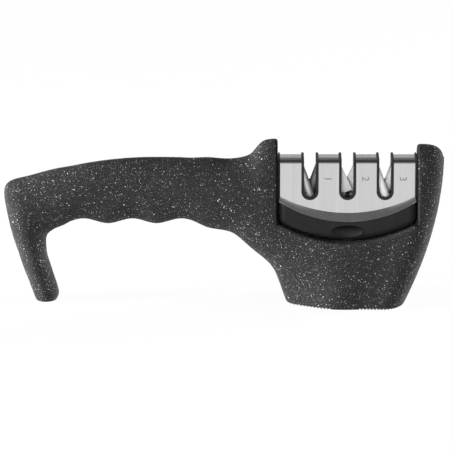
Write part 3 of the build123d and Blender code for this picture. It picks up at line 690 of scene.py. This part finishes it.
class SHARPENER_OT_guides(bpy.types.Operator):
    """Add thin near-black strips at the end walls of the module's dock, painted shade standing in for the
    shadow in the gap at the module's ends
    """

    bl_idname = "sharpener.guides"
    bl_label = "Dock guides"

    def execute(self, context):
        sizes = context.scene.sharpener_sizes
        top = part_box("carrier_front")[1].z
        span = Vector((sizes.guide_thickness, sizes.guide_depth, sizes.guide_height))
        strips = bmesh.new()
        for side in (-1, 1):
            along = sizes.dock_middle + side * (sizes.dock_wall - sizes.guide_thickness / 2)
            spot = Vector((along, 0.0, top - sizes.guide_height / 2))
            stretched = Matrix.Translation(spot) @ Matrix.Diagonal(span.to_4d())
            bmesh.ops.create_cube(strips, size=1.0, matrix=stretched)
        # Painted shade: the strips' plastic is toned far darker than the other black parts.
        plastic = black_plastic(sizes, "shade_strip_plastic", roughness=0.6, gloss=0.05, tone=0.35)
        add_piece("dock_shade_strips", strips, plastic, "handle")
        return {"FINISHED"}


class SHARPENER_OT_cover(bpy.types.Operator):
    """Finish the brushed-steel cover"""

    bl_idname = "sharpener.cover"
    bl_label = "Steel cover"

    def execute(self, context):
        dress(cover_steel(context.scene.sharpener_sizes), "steel_cover")
        return {"FINISHED"}


class SHARPENER_OT_numerals(bpy.types.Operator):
    """Etch plain numerals beside the three knife slots"""

    bl_idname = "sharpener.numerals"
    bl_label = "Numerals"

    def execute(self, context):
        sizes = context.scene.sharpener_sizes
        middle = middle_of("steel_cover").x
        upright = Matrix.Rotation(math.radians(90.0), 4, "X") @ Matrix.Rotation(math.radians(-90.0), 4, "Z")
        marks = bmesh.new()
        for number in (1, 2, 3):
            text = bpy.data.curves.new("numeral", "FONT")
            text.body = str(number)
            text.size = sizes.mark_height / NUMERAL_SHARE
            text.align_x = "CENTER"
            text.align_y = "CENTER"
            text.extrude = sizes.mark_thickness
            holder = add_object("numeral", text)
            context.view_layer.update()
            flat = bpy.data.meshes.new_from_object(holder.evaluated_get(context.evaluated_depsgraph_get()))
            bpy.data.objects.remove(holder)
            along = middle + (number - 2) * sizes.slot_pitch + sizes.mark_offset
            spot = Vector((along, -sizes.face_front, sizes.mark_level))
            flat.transform(Matrix.Translation(spot) @ upright)
            marks.from_mesh(flat)
            bpy.data.meshes.remove(flat)
        add_piece("etched_numerals", marks, etched_mark(sizes), "sharpening_module")
        return {"FINISHED"}


class SHARPENER_OT_elements(bpy.types.Operator):
    """Finish the diamond rods, the steel blades and the ceramic rods"""

    bl_idname = "sharpener.elements"
    bl_label = "Sharpening elements"

    def execute(self, context):
        sizes = context.scene.sharpener_sizes
        # Painted highlight and shade: the front rod's grit is set near white to stand in for its highlight,
        # and the rear rod's darker copy of the same grit is painted shade.
        dress(diamond_grit(sizes, "diamond_grit", low=228, high=255), "diamond_rod_front")
        dress(diamond_grit(sizes, "shaded_diamond_grit", low=165, high=225), "diamond_rod_rear")
        front_steel = brushed_steel(sizes, "blade_steel", level=238, roughness=0.5, metal=0.45)
        # Painted light: the rear blade's copy of the steel is near white and barely metallic, so that it
        # shows bright though it stands in the front blade's shade.
        lit_rear_steel = brushed_steel(sizes, "lit_blade_back_steel", level=252, roughness=0.6, metal=0.1)
        dress(front_steel, "steel_blade_front")
        dress(lit_rear_steel, "steel_blade_rear")
        dress(white_ceramic(), "ceramic_rod_front", "ceramic_rod_rear")
        return {"FINISHED"}


class SHARPENER_OT_stage(bpy.types.Operator):
    """Set up the pale floor, the soft studio light and the camera"""

    bl_idname = "sharpener.stage"
    bl_label = "Stage"

    def execute(self, context):
        stage = context.scene.sharpener_stage
        self.add_floor()
        self.add_sky(context, stage)
        for lamp in LAMPS:
            self.add_lamp(*lamp)
        self.add_camera(context, stage)
        return {"FINISHED"}

    def add_floor(self):
        """Pale paper that the camera, metal and glass see as nearly white, and that holds shadows."""
        ground = bmesh.new()
        bmesh.ops.create_grid(ground, x_segments=1, y_segments=1, size=FLOOR_REACH)
        paper = Finish("floor_paper", Base_Color=(0.6, 0.6, 0.6, 1.0), Roughness=0.9,
                       Specular_IOR_Level=0.1)
        seen = paper.node("ShaderNodeLightPath", output="Is Camera Ray")
        bright = seen.larger(seen.sibling("Is Glossy Ray")).larger(seen.sibling("Is Transmission Ray"))
        matt = Wire(paper, paper.shader.outputs[0])
        glow = paper.node("ShaderNodeEmission", sockets={"Strength": 1.0})
        shown = paper.node("ShaderNodeMixShader", sockets={0: bright * FLOOR_GLOW, 1: matt, 2: glow})
        paper.feed(paper.tree.nodes["Material Output"].inputs["Surface"], shown)
        floor = add_object("floor", mesh_of(ground, "floor"))
        floor.data.materials.append(paper.material)

    def add_sky(self, context, stage):
        """White to the camera, and to the object a bright horizon under a dim sky."""
        world = bpy.data.worlds.new("studio")
        context.scene.world = world
        world.use_nodes = True
        sky = Wiring(world.node_tree)
        sky.tree.nodes.remove(sky.tree.nodes["Background"])
        direction = sky.node("ShaderNodeTexCoord", output="Generated")
        height = sky.node("ShaderNodeSeparateXYZ", sockets={"Vector": direction}, output="Z")
        level = sky.node("ShaderNodeValToRGB", sockets={"Fac": height}, stops=SKY_STOPS)
        dim = sky.node("ShaderNodeBackground", sockets={"Color": level, "Strength": stage.sky})
        white = sky.node("ShaderNodeBackground", sockets={"Color": (1.0, 1.0, 1.0, 1.0), "Strength": 1.0})
        seen = sky.node("ShaderNodeLightPath", output="Is Camera Ray")
        shown = sky.node("ShaderNodeMixShader", sockets={0: seen, 1: dim, 2: white})
        sky.feed(sky.tree.nodes["World Output"].inputs["Surface"], shown)

    def add_lamp(self, name, spot, width, power):
        """A square soft lamp, not mirrored in metal, that shines on the sharpener."""
        light = bpy.data.lights.new(name, "AREA")
        light.shape = "SQUARE"
        light.size = width
        light.energy = power
        lamp = add_object(name, light)
        lamp.location = spot
        lamp.visible_glossy = False
        lamp.rotation_euler = (LAMP_AIM - Vector(spot)).to_track_quat("-Z", "Y").to_euler()

    def add_camera(self, context, stage):
        """A distant camera that looks down on the front of the sharpener."""
        lens = bpy.data.cameras.new("camera")
        lens.sensor_width = SENSOR_WIDTH
        lens.lens = SENSOR_WIDTH * stage.distance / stage.view_width
        lens.clip_end = FAR_LIMIT
        camera = add_object("camera", lens)
        back = Vector((0.0, -math.cos(stage.elevation), math.sin(stage.elevation)))
        camera.location = Vector(stage.aim) + back * stage.distance
        camera.rotation_euler = (math.pi / 2 - stage.elevation, 0.0, 0.0)
        context.scene.camera = camera
        context.scene.view_settings.view_transform = "Standard"


class SHARPENER_PT_panel(bpy.types.Panel):
    """Lists the sizes, the colours and the steps"""

    bl_idname = "SHARPENER_PT_panel"
    bl_label = "Knife sharpener"
    bl_space_type = "VIEW_3D"
    bl_region_type = "UI"
    bl_category = "Sharpener"

    def draw(self, context):
        layout = self.layout
        for group in (context.scene.sharpener_sizes, context.scene.sharpener_stage):
            column = layout.column()
            for name in group.__annotations__:
                column.prop(group, name)
        for step in STEPS:
            layout.operator(step.bl_idname)


STEPS = (
    SHARPENER_OT_handle,
    SHARPENER_OT_tongue,
    SHARPENER_OT_underside,
    SHARPENER_OT_guides,
    SHARPENER_OT_module,
    SHARPENER_OT_cover,
    SHARPENER_OT_numerals,
    SHARPENER_OT_elements,
    SHARPENER_OT_stage,
)
GROUPS = (SHARPENER_PG_sizes, SHARPENER_PG_stage)


def register():
    for item in GROUPS + STEPS + (SHARPENER_PT_panel,):
        bpy.utils.register_class(item)
    bpy.types.Scene.sharpener_sizes = bpy.props.PointerProperty(type=SHARPENER_PG_sizes)
    bpy.types.Scene.sharpener_stage = bpy.props.PointerProperty(type=SHARPENER_PG_stage)


def unregister():
    del bpy.types.Scene.sharpener_stage
    del bpy.types.Scene.sharpener_sizes
    for item in reversed(GROUPS + STEPS + (SHARPENER_PT_panel,)):
        bpy.utils.unregister_class(item)


def main():
    register()
    bpy.ops.sharpener.handle()
    bpy.ops.sharpener.tongue()
    bpy.ops.sharpener.underside()
    bpy.ops.sharpener.guides()
    bpy.ops.sharpener.module()
    bpy.ops.sharpener.cover()
    bpy.ops.sharpener.numerals()
    bpy.ops.sharpener.elements()
    bpy.ops.sharpener.stage()


if __name__ == "__main__":
    main()
